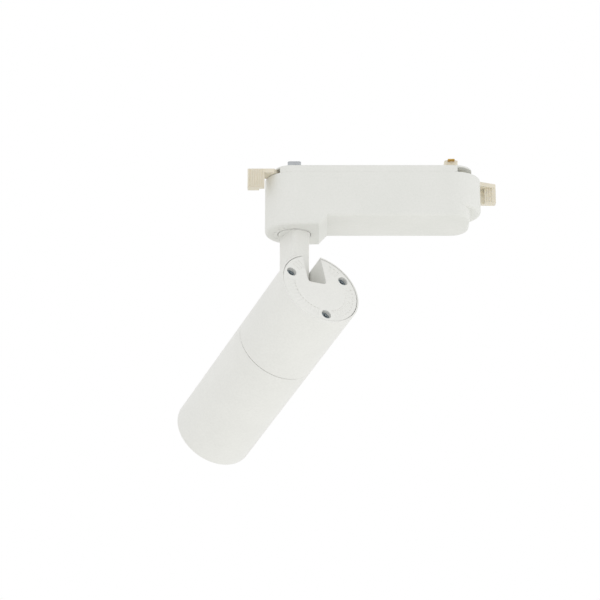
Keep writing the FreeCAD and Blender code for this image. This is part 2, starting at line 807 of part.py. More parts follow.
def make_case_lid():
    body = new_body("case_lid")
    plan = new_sketch(body, offset="-lid_thickness")
    rounded_rectangle(plan, "lid_end", "end_radius", "corner_round")
    pad(body, plan, "lid_thickness")
    # Under each end: the room for the lever's disc and the sector that its tongue sweeps,
    # measured from the end towards the side that the grip swings to.
    reach = "case_width"
    span = "(lever_slot_back + lever_slot_ahead)"
    angles = [f"(-lever_slot_back + {step} / {SECTOR_SIDES} * {span})"
              for step in range(SECTOR_SIDES + 1)]
    for side in (-1, 1):
        room = new_sketch(body, offset="-lid_thickness")
        circle(room, "lever_disc_radius + 2 * lever_gap", f"{side} * rotor_x")
        pocket(body, room, "lever_thickness + 2 * lever_gap", flip=True)
        sector = new_sketch(body, offset="-lid_thickness")
        corners = [(f"{side} * rotor_x", "0")]
        for angle in angles:
            across = f"{side} * (rotor_x + {reach} * cos({angle} * 1 deg))"
            corners.append((across, f"{-side} * {reach} * sin({angle} * 1 deg)"))
        outline(sector, *corners)
        pocket(body, sector, "lever_thickness + 2 * lever_gap", flip=True)
        neck = new_sketch(body)
        circle(neck, "lever_neck_radius + lever_gap", f"{side} * rotor_x")
        pocket(body, neck, "lid_thickness")
    holes = new_sketch(body)
    wells = new_sketch(body)
    for x, y in four_corners("lid_screw_x", "lid_screw_y"):
        circle(holes, "screw_radius + screw_clearance", x, y)
        circle(wells, "screw_head_radius + screw_clearance", x, y)
    pocket(body, holes, "lid_thickness")
    pocket(body, wells, "screw_head_height + screw_clearance")
    keep("case_lid", body)


def make_lid_screws():
    seat = "-screw_head_height - screw_clearance"
    length = f"lid_screw_length + lid_thickness + ({seat}) - screw_tip_gap"
    items = []
    for x, y in four_corners("lid_screw_x", "lid_screw_y"):
        items.append(case_screw("lid_screw", x, y, seat, length))
    keep("lid_screws", group("lid_screws", items))


# ---------------------------------------------------------------- rail levers


def make_lever(name, frame):
    """A lever's own frame has its turning axis on Z, and its grip on the -X, -Y side."""
    body = new_body(name)
    plate = new_sketch(body, offset="lever_under")
    circle(plate, "lever_disc_radius")
    pad(body, plate, "lever_thickness")
    tongue = new_sketch(body, offset="lever_under")
    outline(
        tongue,
        ("-grip_reach", "-grip_face"),
        ("-tongue_tip", "-grip_face"),
        ("-lever_disc_radius / 2", "-lever_disc_radius / 2"),
        ("-lever_disc_radius / 2", "-tongue_inner"),
        ("-lever_disc_radius - tongue_shoulder", "-tongue_inner"),
        ("-grip_reach", "-grip_face + grip_depth"),
    )
    pad(body, tongue, "lever_thickness")
    grip = new_sketch(body, offset="lever_top")
    thin_start = "-grip_reach + grip_length - grip_thin_length"
    outline(
        grip,
        ("-grip_reach", "-grip_face"),
        ("-grip_reach + grip_length", "-grip_face"),
        ("-grip_reach + grip_length", "-grip_face + grip_thin_depth"),
        (thin_start, "-grip_face + grip_thin_depth"),
        (thin_start, "-grip_face + grip_depth"),
        ("-grip_reach", "-grip_face + grip_depth"),
    )
    pad(body, grip, "grip_drop", flip=True)

    def corner(edge):
        bounds = edge.BoundBox
        upright = bounds.ZLength > value("grip_drop") - TINY
        return upright and bounds.XMax < value("-grip_reach") + TINY

    fillet(body, "grip_round", corner)
    # Ribs on the grip's outer face and, further out, on its inner face.
    pitch = "(grip_length / rib_count)"
    ribs = new_sketch(body, offset="lever_top - rib_margin")
    for number in range(int(value("rib_count"))):
        middle = f"(-grip_reach + {pitch} * {number + 0.5})"
        rectangle(ribs, f"{middle} - {pitch} / 4", f"{middle} + {pitch} / 4",
                  "-grip_face - rib_height", "-grip_face + rib_height")
    pad(body, ribs, "grip_drop - 2 * rib_margin", flip=True)
    inner_ribs = new_sketch(body, offset="lever_under")
    for number in range(1, 1 + int(value("inner_rib_count"))):
        middle = f"(-grip_reach + {pitch} * {number + 0.5})"
        rectangle(inner_ribs, f"{middle} - {pitch} / 4", f"{middle} + {pitch} / 4",
                  "-grip_face + grip_depth - rib_height", "-grip_face + grip_depth + rib_height")
    pad(body, inner_ribs, "grip_drop - lever_thickness - rib_margin", flip=True)
    # The neck goes up through the lid to the rail, and the pivot down through the roof.
    neck = new_sketch(body, offset="lever_top")
    circle(neck, "lever_neck_radius")
    pad(body, neck, "lever_neck_height - lever_top")
    pivot = new_sketch(body, offset="lever_under")
    circle(pivot, "lever_pivot_radius")
    pad(body, pivot, "lever_pivot_length", flip=True)
    pilot = new_sketch(body, offset="lever_neck_height")
    circle(pilot, "screw_radius")
    pocket(body, pilot, "lever_neck_height + lid_thickness")
    keep(name, body, frame)
    ring = disc(
        name + "_clip", "clip_radius",
        "roof_under - lever_gap - clip_thickness", "roof_under - lever_gap",
        bore="lever_pivot_radius",
    )
    keep(name + "_clip", ring, frame)


def make_rail_hook():
    """The steel wing that hooks over the rail's inner lips when the lever is home."""
    body = new_body("left_hook")
    plan = new_sketch(body, offset="lever_neck_height")
    rounded_rectangle(plan, "hook_width / 2", "hook_length / 2", "hook_corner")
    circle(plan, "screw_radius + screw_clearance")
    pad(body, plan, "hook_thickness")
    keep("left_hook", body, LEFT)
    seat = "lever_neck_height + hook_thickness"
    item = case_screw("left_hook_screw", "0", "0", seat, f"{seat} + hook_screw_reach")
    keep("left_hook_screw", item, LEFT)


def make_contact_head():
    """The moulded wing that carries a brass blade at each end to the rail's two conductors."""
    body = new_body("contact_head")
    plan = new_sketch(body, offset="lever_neck_height")
    rounded_rectangle(plan, "hook_width / 2", "hook_length / 2 - blade_length", "hook_corner")
    circle(plan, "screw_radius + screw_clearance")
    pad(body, plan, "contact_head_thickness")
    top = "lever_neck_height + contact_head_thickness"
    tip, root = "hook_length / 2", "(hook_length / 2 - blade_length - blade_seat)"
    groove = new_sketch(body, offset=top)
    blades = []
    for ends in ((f"-{tip}", f"-{root}"), (root, tip)):
        rectangle(groove, "-hook_width / 4", "hook_width / 4", *ends)
        blades.append(box("blade", "-hook_width / 4", "hook_width / 4", *ends,
                          f"{top} - blade_thickness", top))
    pocket(body, groove, "blade_thickness")
    keep("contact_head", body, RIGHT)
    keep("contact_blades", group("contact_blades", blades), RIGHT)
    item = case_screw("contact_screw", "0", "0", top, f"{top} + hook_screw_reach")
    keep("contact_screw", item, RIGHT)


# ---------------------------------------------------------------- driver electronics


def make_circuit_board():
    body = new_body("circuit_board")
    plan = new_sketch(body, offset="board_under")
    rounded_rectangle(plan, "board_end", "board_side", "board_corner")
    for x, y in four_corners("board_post_x", "board_post_y"):
        circle(plan, "small_screw_radius + screw_clearance", x, y)
    pad(body, plan, "board_thickness")
    keep("circuit_board", body)
    items = []
    for x, y in four_corners("board_post_x", "board_post_y"):
        items.append(screw(
            "board_screw", "small_screw_radius", "small_screw_head_radius",
            "small_screw_head_height", "small_screw_length - screw_tip_gap", x, y, "board_top",
        ))
    keep("board_screws", group("board_screws", items))


def on_board(name, x, y, length, width, height, lift="0"):
    """A block about a centre on the circuit board, lifted clear of it where lift says so."""
    low = f"(board_top + {lift})"
    return box(name, f"{x} - ({length}) / 2", f"{x} + ({length}) / 2",
               f"{y} - ({width}) / 2", f"{y} + ({width}) / 2", low, f"{low} + {height}")


def make_board_pieces():
    """The parts that stand on the circuit board."""
    limb_under = "(core_window_lift + core_window_height / 2 - core_limb_height / 2)"
    yoke = cut(
        "core_yoke",
        on_board("core_block", "0", "0", "core_length", "core_width", "core_height"),
        on_board("core_window", "0", "0", "core_length", "core_window_width",
                 "core_window_height", "core_window_lift"),
    )
    limb = on_board("core_limb", "0", "0", "core_limb_length", "core_width",
                    "core_limb_height", limb_under)
    keep("transformer_core", fuse("transformer_core", yoke, limb))
    winding = cut(
        "transformer_winding",
        on_board("winding_block", "0", "0", "winding_length",
                 "core_window_width - 2 * winding_gap",
                 "core_window_height - 2 * winding_gap", "core_window_lift + winding_gap"),
        on_board("winding_hole", "0", "0", "core_limb_length + 2 * winding_gap",
                 "core_window_width", "core_limb_height + 2 * winding_gap",
                 f"{limb_under} - winding_gap"),
    )
    keep("transformer_winding", winding)
    keep("capacitors", group("capacitors", [
        cylinder("large_capacitor", "large_capacitor_radius", "board_top",
                 "board_top + large_capacitor_height", "capacitor_x", "large_capacitor_y"),
        cylinder("small_capacitor", "small_capacitor_radius", "board_top",
                 "board_top + small_capacitor_height", "capacitor_x", "-small_capacitor_y"),
    ]))
    keep("film_capacitor", on_board(
        "film_capacitor", "-film_capacitor_x", "0",
        "film_capacitor_length", "film_capacitor_width", "film_capacitor_height",
    ))
    coil = doc.addObject("Part::Torus", "choke_coil")
    coil.setExpression("Radius1", bound("choke_radius"))
    coil.setExpression("Radius2", bound("choke_wire_radius"))
    for axis, place in zip("xyz", ("-choke_x", "choke_y", "board_top + choke_wire_radius")):
        coil.setExpression("Placement.Base." + axis, bound(place))
    keep("choke_coil", coil)
    fuse_can = cylinder("fuse_can", "fuse_radius", "board_top", "board_top + fuse_height",
                        "-fuse_x", "-fuse_y")
    keep("fuse_can", fuse_can)
    keep("transistor_heatsink", on_board(
        "transistor_heatsink", "plate_x", "0", "plate_thickness", "plate_width", "plate_height",
    ))
    keep("power_transistor", on_board(
        "power_transistor",
        "plate_x - (plate_thickness + transistor_thickness) / 2 - transistor_gap", "0",
        "transistor_thickness", "transistor_width", "transistor_height", "transistor_lift",
    ))
    mouths = []
    for side in (-1, 1):
        mouths.append(on_board(
            "terminal_mouth", "terminal_x", f"-terminal_y + {side} * terminal_pitch / 2",
            "terminal_depth - 2 * terminal_wall", "terminal_mouth_length",
            "terminal_mouth_depth", "terminal_height - terminal_mouth_depth",
        ))
    body = on_board("terminal_body", "terminal_x", "-terminal_y", "terminal_depth",
                    "terminal_length", "terminal_height")
    keep("terminal_block", cut("terminal_block", body, *mouths))


# ---------------------------------------------------------------- swivel


def make_swivel_arm():
    body = new_body("swivel_arm")
    side = new_sketch(body, "YZ_Plane")
    outline(
        side,
        ("-arm_end_radius", "arm_bar_top"),
        ("-arm_end_radius", "-pivot_drop"),
        ("arm_end_radius", "-pivot_drop", "0", "-pivot_drop", 1),
        ("arm_end_radius", "arm_bar_top"),
    )
    pad(body, side, "arm_width", both_ways=True)

    def rim(edge):
        bounds = edge.BoundBox
        return bounds.XLength < TINY and bounds.ZLength > TINY

    fillet(body, "arm_edge_round", rim)
    plate = new_sketch(body, offset="arm_bar_top")
    circle(plate, "swivel_disc_radius")
    pad(body, plate, "swivel_disc_top - arm_bar_top")
    stud = new_sketch(body, offset="swivel_disc_top")
    circle(stud, "stud_radius")
    pad(body, stud, "stud_top - swivel_disc_top")
    # The lead's way: down through the stud and out of the bar's lamp side.
    bore = new_sketch(body, offset="stud_top")
    circle(bore, "lead_bore_radius")
    pocket(body, bore, "stud_top + lead_bore_drop")
    outlet = new_sketch(body, "XZ_Plane")
    circle(outlet, "lead_bore_radius", "0", "-lead_bore_drop")
    pocket(body, outlet, "arm_depth")
    hinge = new_sketch(body, "YZ_Plane")
    circle(hinge, "tilt_bush_radius", "0", "-pivot_drop")
    pocket(body, hinge, "2 * arm_width", both_ways=True)
    keep("swivel_arm", body, ARM)


def make_swivel_fittings():
    bush = turned(
        "pan_bush",
        ("bush_bore", "recess_roof"),
        ("bush_radius", "recess_roof"),
        ("bush_radius", "turret_top"),
        ("bush_flange_radius", "turret_top"),
        ("bush_flange_radius", "bush_top"),
        ("bush_bore", "bush_top"),
    )
    keep("pan_bush", bush, LEFT)
    spring = turned(
        "spring_washer",
        ("bush_bore", "spring_under + spring_washer_rise"),
        ("washer_radius", "spring_under"),
        ("washer_radius", "spring_under + spring_washer_thickness"),
        ("bush_bore", "spring_top"),
    )
    keep("spring_washer", spring, ARM)
    stop = new_body("stop_washer")
    plan = new_sketch(stop, offset="spring_top")
    circle(plan, "washer_radius")
    pad(stop, plan, "stop_washer_thickness")
    tab = new_sketch(stop, offset="spring_top")
    rectangle(tab, "-stop_tab_width / 2", "stop_tab_width / 2", "stud_radius", "stop_tab_reach")
    pad(stop, tab, "stop_washer_thickness")
    hole = new_sketch(stop, offset="stop_top")
    circle(hole, "bush_bore")
    pocket(stop, hole, "stop_washer_thickness")
    keep("stop_washer", stop, ARM)
    nut = new_body("pan_nut")
    plan = new_sketch(nut, offset="stop_top")
    hexagon(plan, "pan_nut_flats")
    circle(plan, "bush_bore")
    pad(nut, plan, "pan_nut_height")
    keep("pan_nut", nut, ARM)
    pin = disc("stop_pin", "stop_pin_radius", "turret_top - stop_pin_seat",
               "stop_top + stop_pin_proud", y="-stop_pin_ring")
    keep("stop_pin", pin, LEFT)


# ---------------------------------------------------------------- tilt joint


def along_tilt_axis(name, sections, bore=None):
    """Steps along the tilt axis in the tilt frame: (outline kind, size, from, to)."""
    body = new_body(name)
    for kind, size, low, high in sections:
        sketch = new_sketch(body, "YZ_Plane", low)
        if kind == "hex":
            hexagon(sketch, size)
        else:
            circle(sketch, size)
        if bore:
            circle(sketch, bore)
        pad(body, sketch, f"({high}) - ({low})")
    return body


def make_tilt_joint():
    wall = "channel_half"
    pin = along_tilt_axis("tilt_pin", [
        ("hex", "tilt_head_flats", f"-{wall} - tilt_head_height", f"-{wall}"),
        ("round", "tilt_pin_radius", f"-{wall}", f"{wall} + tilt_head_height + tilt_thread_spare"),
    ])
    keep("tilt_pin", pin, TILT)
    nut = along_tilt_axis("tilt_nut", [
        ("hex", "tilt_head_flats", wall, f"{wall} + tilt_head_height"),
    ], bore="tilt_bore")
    keep("tilt_nut", nut, TILT)
    bush = along_tilt_axis("tilt_bush", [
        ("round", "tilt_bush_radius", "-arm_width / 2", "arm_width / 2"),
    ], bore="tilt_bore")
    keep("tilt_bush", bush, TILT)
    washers = []
    for name, low, high in (
        ("washer_a", "-slot_width / 2", "-slot_width / 2 + tilt_washer_thickness"),
        ("washer_b", "slot_width / 2 - tilt_washer_thickness", "slot_width / 2"),
    ):
        ring = [("round", "tilt_washer_radius", low, high)]
        washers.append(along_tilt_axis(name, ring, bore="tilt_bore"))
    keep("tilt_washers", group("tilt_washers", washers), TILT)


# ---------------------------------------------------------------- lamp


def make_rear_housing():
    recess = "cap_recess_radius"
    body = turned(
        "rear_housing",
        (recess, "0"),
        ("lamp_radius - rim_round / 2", "0"),
        ("lamp_radius", "rim_round / 2", "lamp_radius - rim_round / 2", "rim_round / 2", 1),
        ("lamp_radius", "rear_end - joint_chamfer"),
        ("lamp_radius - joint_chamfer", "rear_end"),
        ("flange_radius", "rear_end"),
        ("flange_radius", "rear_end - flange_thickness"),
        ("tube_inner", "rear_end - flange_thickness"),
        ("tube_inner", "cap_inner_face"),
        (recess, "cap_inner_face"),
    )
    # The channel that takes the arm, with the bosses that the cap is screwed to.
    centre = "-axis_offset"
    channel = new_sketch(body, offset="cap_inner_face")
    rectangle(channel, f"{centre} - channel_half", f"{centre} + channel_half",
              "-tube_inner + channel_root", "-slot_floor + channel_wall")
    pad(body, channel, "slot_length + channel_wall - cap_inner_face")
    bosses = new_sketch(body, offset="boss_face")
    for x, y in cap_screw_spots():
        circle(bosses, "cap_boss_radius", x, y)
    pad(body, bosses, "cap_boss_length")
    slot = new_sketch(body, offset="-cut_margin")
    slot_outline(slot)
    pocket(body, slot, "slot_length + cut_margin", flip=True)
    pilots = new_sketch(body, offset="boss_face")
    for x, y in cap_screw_spots():
        circle(pilots, "screw_radius", x, y)
    pocket(body, pilots, "cap_boss_length - pilot_floor", flip=True)
    ring_holes = new_sketch(body, offset="rear_end")
    for x, y in sink_screw_spots():
        circle(ring_holes, "screw_radius + screw_clearance", x, y)
    pocket(body, ring_holes, "flange_thickness")
    hinge = new_sketch(body, "YZ_Plane")
    circle(hinge, "tilt_bore", "-pivot_offset", "pivot_setback")
    pocket(body, hinge, "2 * (channel_half + axis_offset) + cut_margin", both_ways=True)
    lead = new_sketch(body, offset="slot_length + channel_wall")
    circle(lead, "grommet_hole_radius", centre, "grommet_y")
    pocket(body, lead, "channel_wall")
    keep("rear_housing", body, LAMP)


def slot_outline(sketch):
    """The plan of the slot that takes the arm, open at the lamp's side."""
    low, high = "(-axis_offset - slot_width / 2)", "(-axis_offset + slot_width / 2)"
    outside, shoulder = "-lamp_radius - cut_margin", "-slot_floor - slot_round"
    outline(
        sketch,
        (low, outside),
        (high, outside),
        (high, shoulder),
        (f"{high} - slot_round", "-slot_floor", f"{high} - slot_round", shoulder, 1),
        (f"{low} + slot_round", "-slot_floor"),
        (low, shoulder, f"{low} + slot_round", shoulder, 1),
    )


def cap_screw_spots():
    angles = ("-cap_screw_angle", "cap_screw_angle", "180")
    return [(f"cap_screw_ring * sin({a} * 1 deg)", f"-cap_screw_ring * cos({a} * 1 deg)")
            for a in angles]


def sink_screw_spots():
    ring = "flange_screw_ring"
    return [(f"{ring} * sin({a} deg)", f"{ring} * cos({a} deg)") for a in (0, 120, 240)]


def make_rear_cap():
    body = new_body("rear_cap_blank")
    plan = new_sketch(body, offset="cap_inset")
    circle(plan, "cap_radius")
    pad(body, plan, "cap_thickness")
    cups = new_sketch(body, offset="cap_inner_face")
    for x, y in cap_screw_spots():
        circle(cups, "cap_well_radius + cap_well_wall", x, y)
    pad(body, cups, "cap_well_depth + cap_well_wall - cap_thickness")
    # What would meet the tube's inner wall is trimmed back.
    trim = new_sketch(body, offset="cap_inner_face")
    circle(trim, "tube_inner - cap_gap")
    circle(trim, "lamp_radius + cut_margin")
    pocket(body, trim, "cap_well_depth + cap_well_wall", flip=True)
    wells = new_sketch(body, offset="cap_inset")
    for x, y in cap_screw_spots():
        circle(wells, "cap_well_radius", x, y)
    pocket(body, wells, "cap_well_depth", flip=True)
    holes = new_sketch(body, offset="cap_inset")
    for x, y in cap_screw_spots():
        circle(holes, "screw_radius + screw_clearance", x, y)
    pocket(body, holes, "cap_well_depth + cap_well_wall", flip=True)
    notch = new_sketch(body, offset="cap_inset")
    slot_outline(notch)
    pocket(body, notch, "cap_thickness", flip=True)
    doc.recompute()
    keep("rear_cap", cut("rear_cap", body, *[flute(angle) for angle in flute_angles()]), LAMP)


def flute_angles():
    """Directions of the cap's shallow flutes, in degrees from the slot's side: an even ring
    that leaves out the notch and the screw wells."""
    angle, pitch = value("flute_first_angle"), value("flute_pitch")
    room = math.degrees(math.asin(value("(cap_well_radius + flute_radius) / flute_inner")))
    angles = []
    while angle < 180 - room:
        if abs(angle - value("cap_screw_angle")) > room:
            angles += [angle, -angle]
        angle += pitch
    return angles


def flute(angle):
    """A round cutter that lies along a radius and sinks a little into the cap's outer face."""
    item = doc.addObject("Part::Cylinder", "flute")
    item.setExpression("Radius", bound("flute_radius"))
    item.setExpression("Height", bound("flute_outer - flute_inner"))
    item.Placement = FreeCAD.Placement(FreeCAD.Vector(), turn_about((0, 1, 0), 90))
    return aim(item, "flute_inner", "0", "cap_inset + flute_depth - flute_radius", angle - 90)


def make_cap_screws():
    seat = "cap_inset + cap_well_depth"
    length = f"cap_boss_length + boss_face - ({seat}) - pilot_floor - screw_tip_gap"
    items = [case_screw("cap_screw", x, y, seat, length, up=-1) for x, y in cap_screw_spots()]
    keep("cap_screws", group("cap_screws", items), LAMP)


def make_front_tube():
    inner_round = "(rim_round / 2)"
    front = "lamp_length"
    body = turned(
        "front_tube",
        ("flange_radius", "front_start"),
        ("lamp_radius - joint_chamfer", "front_start"),
        ("lamp_radius", "front_start + joint_chamfer"),
        ("lamp_radius", f"{front} - rim_round"),
        ("lamp_radius - rim_round", front,
         "lamp_radius - rim_round", f"{front} - rim_round", 1),
        (f"tube_inner + {inner_round}", front),
        ("tube_inner", f"{front} - {inner_round}",
         f"tube_inner + {inner_round}", f"{front} - {inner_round}", 1),
        ("tube_inner", "sink_rear"),
        ("flange_radius", "sink_rear"),
    )
    holes = new_sketch(body, offset="sink_rear")
    for x, y in sink_screw_spots():
        circle(holes, "screw_radius + screw_clearance", x, y)
    pocket(body, holes, "flange_thickness")
    keep("front_tube", body, LAMP)


def make_heat_sink():
    body = new_body("heat_sink")
    base = new_sketch(body, offset="sink_rear")
    circle(base, "insert_radius")
    pad(body, base, "sink_base")
    fins = new_sketch(body, offset="sink_rear")
    each_side = int(value("sink_fins_each_side"))
    for number in (*range(-each_side, 0), *range(1, each_side + 1)):
        middle = f"({number} * sink_fin_pitch)"
        edge = f"(abs({middle}) + sink_fin_thickness / 2)"
        half = f"sqrt(sink_fin_radius ^ 2 - {edge} ^ 2)"
        rectangle(fins, f"-{half}", half, f"{middle} - sink_fin_thickness / 2",
                  f"{middle} + sink_fin_thickness / 2")
    pad(body, fins, "sink_fin_length", flip=True)
    hub = new_sketch(body, offset="sink_rear")
    circle(hub, "sink_hub_radius")
    pad(body, hub, "sink_fin_length", flip=True)
    lead = new_sketch(body, offset="sink_front")
    circle(lead, "lead_bore_radius")
    pocket(body, lead, "sink_base + sink_fin_length")
    taps = new_sketch(body, offset="sink_rear")
    for x, y in sink_screw_spots():
        circle(taps, "screw_radius", x, y)
    pocket(body, taps, "sink_base - pilot_floor", flip=True)
    led_taps = new_sketch(body, offset="sink_front")
    for x in ("-led_screw_ring", "led_screw_ring"):
        circle(led_taps, "small_screw_radius", x)
    pocket(body, led_taps, "small_screw_length - led_board_thickness")
    keep("heat_sink", body, LAMP)
    seat = "rear_end - flange_thickness"
    length = "2 * flange_thickness + joint_gap + sink_base - pilot_floor - screw_tip_gap"
    items = [case_screw("sink_screw", x, y, seat, length, up=-1) for x, y in sink_screw_spots()]
    keep("heat_sink_screws", group("heat_sink_screws", items), LAMP)


def make_light_source():
    body = new_body("led_board")
    plan = new_sketch(body, offset="sink_front")
    circle(plan, "led_board_radius")
    for x in ("-led_screw_ring", "led_screw_ring"):
        circle(plan, "small_screw_radius + screw_clearance", x)
    pad(body, plan, "led_board_thickness")
    keep("led_board", body, LAMP)
    emitter = disc("led_emitter", "led_radius", "led_seat", "led_seat + led_thickness")
    keep("led_emitter", emitter, LAMP)
    items = []
    for x in ("-led_screw_ring", "led_screw_ring"):
        items.append(screw(
            "led_screw", "small_screw_radius", "small_screw_head_radius",
            "small_screw_head_height", "small_screw_length - screw_tip_gap", x, "0", "led_seat",
        ))
    keep("led_board_screws", group("led_board_screws", items), LAMP)


def make_optics():
    reflector = turned(
        "reflector",
        ("reflector_throat", "reflector_rear"),
        ("reflector_throat + reflector_wall", "reflector_rear"),
        ("reflector_mouth + reflector_wall", "reflector_front"),
        ("insert_radius", "reflector_front"),
        ("insert_radius", "lens_rear"),
        ("reflector_mouth", "lens_rear"),
    )
    keep("reflector", reflector, LAMP)
    keep("lens", disc("lens", "insert_radius - sink_gap", "lens_rear", "lens_front"), LAMP)
    ring = turned(
        "lens_ring",
        ("insert_radius", "lens_front"),
        ("insert_radius", "lens_ring_front"),
        ("insert_radius - lens_ring_width / 2", "lens_ring_front"),
        ("insert_radius - lens_ring_width", "lens_ring_front - lens_ring_height / 2"),
        ("insert_radius - lens_ring_width", "lens_front"),
    )
    keep("lens_ring", ring, LAMP)


def make_lead_grommet():
    """The rubber ring where the lead passes from the channel into the lamp."""
    lip = "(grommet_hole_radius + grommet_flange)"
    low, high = "slot_length", "(slot_length + channel_wall)"
    section = [
        ("grommet_bore", f"{low} - grommet_lip"),
        (lip, f"{low} - grommet_lip"),
        (lip, low),
        ("grommet_hole_radius", low),
        ("grommet_hole_radius", high),
        (lip, high),
        (lip, f"{high} + grommet_lip"),
        ("grommet_bore", f"{high} + grommet_lip"),
    ]
    ring = turned("lead_grommet", *section)
    shift = FreeCAD.Vector(-value("axis_offset"), value("grommet_y"), 0)
    keep("lead_grommet", ring, LAMP.multiply(FreeCAD.Placement(shift, FreeCAD.Rotation())))


# ---------------------------------------------------------------- build, check and write

make_driver_case()
make_case_lid()
make_lid_screws()
make_lever("left_lever", LEFT)
make_rail_hook()
make_lever("right_lever", RIGHT)
make_contact_head()
make_circuit_board()
make_board_pieces()
make_swivel_arm()
make_swivel_fittings()
make_tilt_joint()
make_rear_housing()
make_rear_cap()
make_cap_screws()
make_front_tube()
make_heat_sink()
make_light_source()
make_optics()
make_lead_grommet()
doc.recompute()

faults = [item.Name for item in doc.Objects if {"Invalid", "Error"} & set(item.State)]
for name, item in parts.items():
    if item.Shape.isNull() or not item.Shape.isValid() or not item.Shape.Solids:
        faults.append(name)
if faults:
    raise ValueError("failed: " + ", ".join(faults))

os.makedirs("parts", exist_ok=True)
for name, item in parts.items():
    item.Shape.exportStep(f"parts/{name}.step")
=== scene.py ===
import json
import math

import bmesh
import bpy
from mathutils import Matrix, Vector


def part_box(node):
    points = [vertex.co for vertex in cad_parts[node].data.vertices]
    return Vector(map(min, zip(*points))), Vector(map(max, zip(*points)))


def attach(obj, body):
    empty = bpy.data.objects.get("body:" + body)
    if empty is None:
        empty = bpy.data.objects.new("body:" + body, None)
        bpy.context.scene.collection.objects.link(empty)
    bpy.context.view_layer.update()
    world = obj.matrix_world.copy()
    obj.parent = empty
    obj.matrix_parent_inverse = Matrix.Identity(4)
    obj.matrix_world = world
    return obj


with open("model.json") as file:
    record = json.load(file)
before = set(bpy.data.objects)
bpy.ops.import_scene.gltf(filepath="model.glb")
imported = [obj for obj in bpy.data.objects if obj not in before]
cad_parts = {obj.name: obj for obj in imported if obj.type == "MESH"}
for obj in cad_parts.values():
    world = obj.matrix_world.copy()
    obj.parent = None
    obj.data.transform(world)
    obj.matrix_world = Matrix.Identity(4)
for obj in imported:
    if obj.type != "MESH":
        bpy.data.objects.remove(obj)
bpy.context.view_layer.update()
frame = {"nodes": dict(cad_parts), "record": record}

MM = 0.001


# ---------------------------------------------------------------- materials


def linear(colour):
    """An sRGB hex colour as the linear RGBA that shaders take."""
    channels = [int(colour[i:i + 2], 16) / 255 for i in (1, 3, 5)]
    return (*[c / 12.92 if c <= 0.04045 else ((c + 0.055) / 1.055) ** 2.4 for c in channels], 1.0)


def add(tree, kind, inputs=None, **settings):
    """Adds a node with its settings, and sets or links its inputs."""
    item = tree.nodes.new(kind)
    for name, setting in settings.items():
        setattr(item, name, setting)
    for name, given in (inputs or {}).items():
        if isinstance(given, bpy.types.NodeSocket):
            tree.links.new(given, item.inputs[name])
        else:
            item.inputs[name].default_value = given
    return item


def grain(tree, place, size_mm, detail=2.0, stretch=(1, 1, 1)):
    """Noise whose grains are about size_mm across, from 0 to 1."""
    scaled = add(tree, "ShaderNodeMapping", {"Vector": place, "Scale": stretch})
    return add(tree, "ShaderNodeTexNoise", {
        "Vector": scaled.outputs["Vector"], "Scale": 1 / (size_mm * MM), "Detail": detail,
    }).outputs["Fac"]


# Every edge of a moulding, a casting or a stamping is broken by about this much, in mm.
EDGE_ROUND = 0.18
EDGE_SAMPLES = 6

# A finish varies in broad clouds, in spots this many times finer, and in its gloss.
SPOTS_PER_CLOUD = 24
GLOSS_PATCHES_PER_CLOUD = 3
# Noise keeps to the middle of its range: what one grain and the sum of two mostly span.
ONE_GRAIN = (0.35, 0.65)
TWO_GRAINS = (0.7, 1.3)

# The Mix node's colour sockets share their names with its number sockets, so they go by place.
MIX_FACTOR, MIX_A, MIX_B, MIX_RESULT = 0, 6, 7, 2


def finish(name, colours, rough, relief, tone_mm=18.0, **constants):
    """A material of one substance.

    colours are the darker and lighter hex of its slight variation, whose clouds are tone_mm
    across, rough the lowest and highest roughness, and relief a list of (grain size mm, height
    mm, stretch) that the bump adds up. Other names are the shader's own sockets.
    """
    material = bpy.data.materials.new(name)
    material.use_nodes = True
    tree = material.node_tree
    tree.nodes.clear()
    place = add(tree, "ShaderNodeTexCoord").outputs["Object"]
    clouds = grain(tree, place, tone_mm, detail=3.0)
    spots = grain(tree, place, tone_mm / SPOTS_PER_CLOUD)
    both = add(tree, "ShaderNodeMath", {0: clouds, 1: spots}, operation="ADD").outputs[0]
    spread = add(tree, "ShaderNodeMapRange", {
        "Value": both, "From Min": TWO_GRAINS[0], "From Max": TWO_GRAINS[1],
        "To Min": 0.0, "To Max": 1.0,
    }).outputs[0]
    colour = add(tree, "ShaderNodeMix", {
        MIX_FACTOR: spread, MIX_A: linear(colours[0]), MIX_B: linear(colours[1]),
    }, data_type="RGBA").outputs[MIX_RESULT]
    roughness = add(tree, "ShaderNodeMapRange", {
        "Value": grain(tree, place, tone_mm / GLOSS_PATCHES_PER_CLOUD),
        "From Min": ONE_GRAIN[0], "From Max": ONE_GRAIN[1],
        "To Min": rough[0], "To Max": rough[1],
    }).outputs[0]
    normal = add(
        tree, "ShaderNodeBevel", {"Radius": EDGE_ROUND * MM}, samples=EDGE_SAMPLES,
    ).outputs["Normal"]
    for size, height, stretch in relief:
        normal = add(tree, "ShaderNodeBump", {
            "Height": grain(tree, place, size, detail=1.0, stretch=stretch),
            "Distance": height * MM, "Strength": 1.0, "Normal": normal,
        }).outputs["Normal"]
    shader = add(tree, "ShaderNodeBsdfPrincipled", {
        "Base Color": colour, "Roughness": roughness, "Normal": normal, **constants,
    })
    add(tree, "ShaderNodeOutputMaterial", {"Surface": shader.outputs["BSDF"]})
    return material


EVEN = (1, 1, 1)

# Die-cast and extruded aluminium under a white polyester powder coat. The coat melts into a
# slight orange peel, about a millimetre across, and stays satin.
POWDER_COAT = finish(
    "powder_coated_aluminium", ("#e9e9e5", "#efefeb"), (0.42, 0.52),
    [(1.1, 0.010, EVEN), (0.35, 0.003, EVEN)], tone_mm=30.0, IOR=1.52,
)
